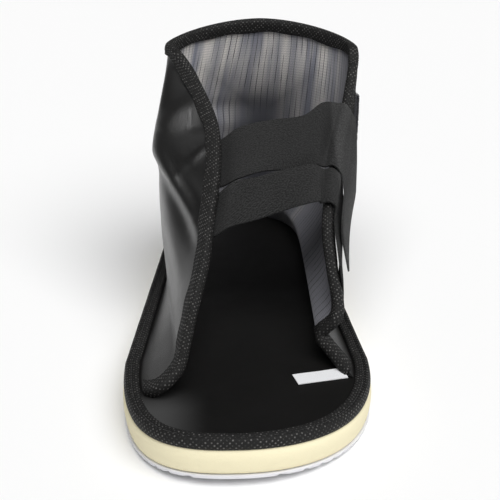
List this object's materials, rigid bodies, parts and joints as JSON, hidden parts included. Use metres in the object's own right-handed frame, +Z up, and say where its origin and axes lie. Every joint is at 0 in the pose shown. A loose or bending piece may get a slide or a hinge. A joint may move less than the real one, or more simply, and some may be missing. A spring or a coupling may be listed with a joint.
{
  "type": "cast shoe",
  "caption": "Open-toed cast shoe with a flat foam sole, a bound footbed and a soft wrap-round upper closed over the instep by elastic straps.",
  "frame": {"origin": "bottom centre of the whole shoe's box, on the floor", "axes": "+Z up, -Y towards the toe, +X towards the outer side where the straps fasten"},
  "size_m": [0.1266, 0.291, 0.1402],
  "materials": {
    "tread": "matt moulded foam rubber, off-white",
    "foam": "matt closed-cell foam, pale cream",
    "footbed_cover": "smooth black coated cloth with a low sheen",
    "binding_tape": "black woven tape with fine light dots and dull stitching",
    "upper_cloth": "black coated cloth outside, grey knitted lining inside",
    "elastic_webbing": "charcoal woven elastic with a dry crepe surface",
    "loop_pile": "dark fuzzy loop pile",
    "label_tape": "bare white satin tape"
  },
  "bodies": {
    "root": {"outsole": "tread", "midsole": "foam", "footbed": "footbed_cover", "footbed_binding": "binding_tape", "upper": "upper_cloth", "edge_binding": "binding_tape", "strap_lower": "elastic_webbing", "strap_upper": "elastic_webbing", "loop_pad": "loop_pile", "label": "label_tape"}
  },
  "joints": []
}
